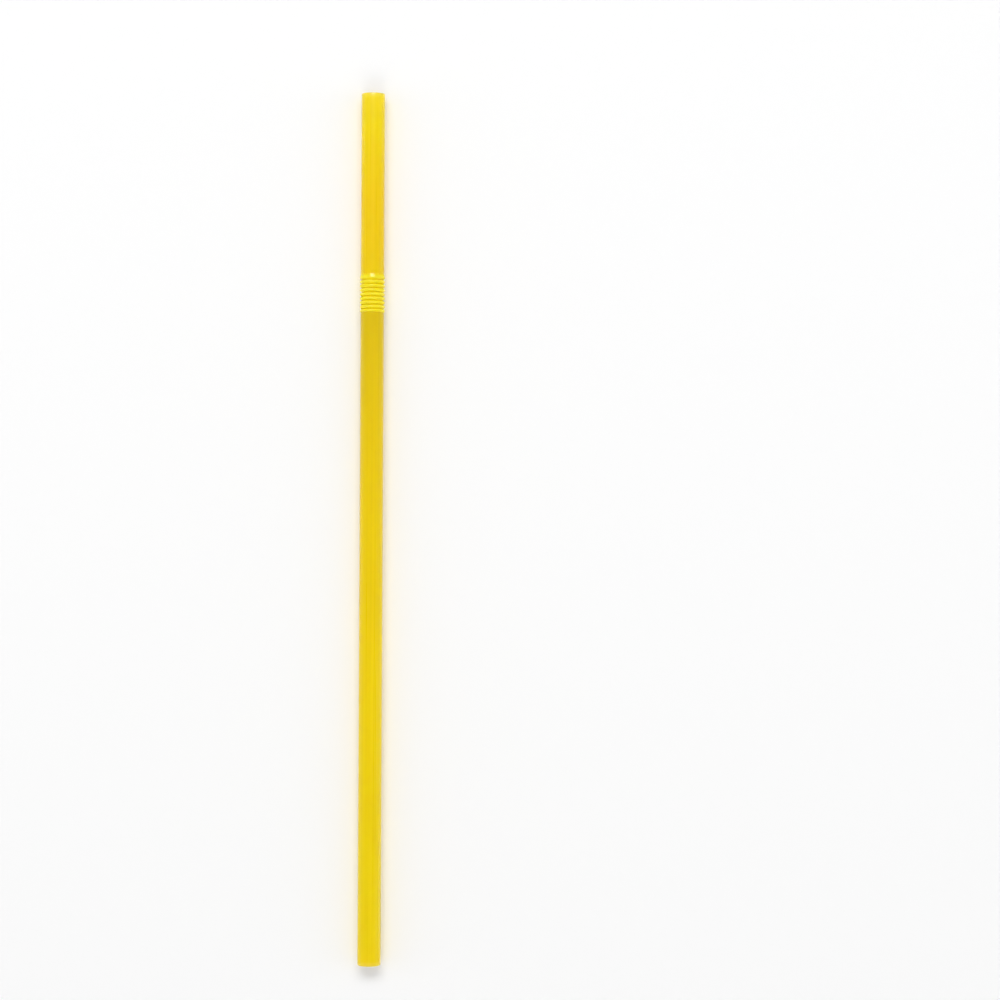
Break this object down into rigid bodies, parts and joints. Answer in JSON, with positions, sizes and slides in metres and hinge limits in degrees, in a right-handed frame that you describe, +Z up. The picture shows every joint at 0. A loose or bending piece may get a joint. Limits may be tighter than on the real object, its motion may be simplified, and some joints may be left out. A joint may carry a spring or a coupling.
{
  "type": "flexible drinking straw",
  "caption": "Plastic drinking straw with a bellows of closed folds near its mouth end that lets it bend, and both ends open.",
  "frame": {"origin": "under the middle of the straw's length, on the surface that the fold crests lie on", "axes": "+Y along the straw towards the mouth end, +Z up"},
  "size_m": [0.006, 0.21, 0.006],
  "materials": {
    "polypropylene": "smooth, slightly translucent coloured polypropylene"
  },
  "bodies": {
    "root": {"straw": "polypropylene"}
  },
  "joints": []
}
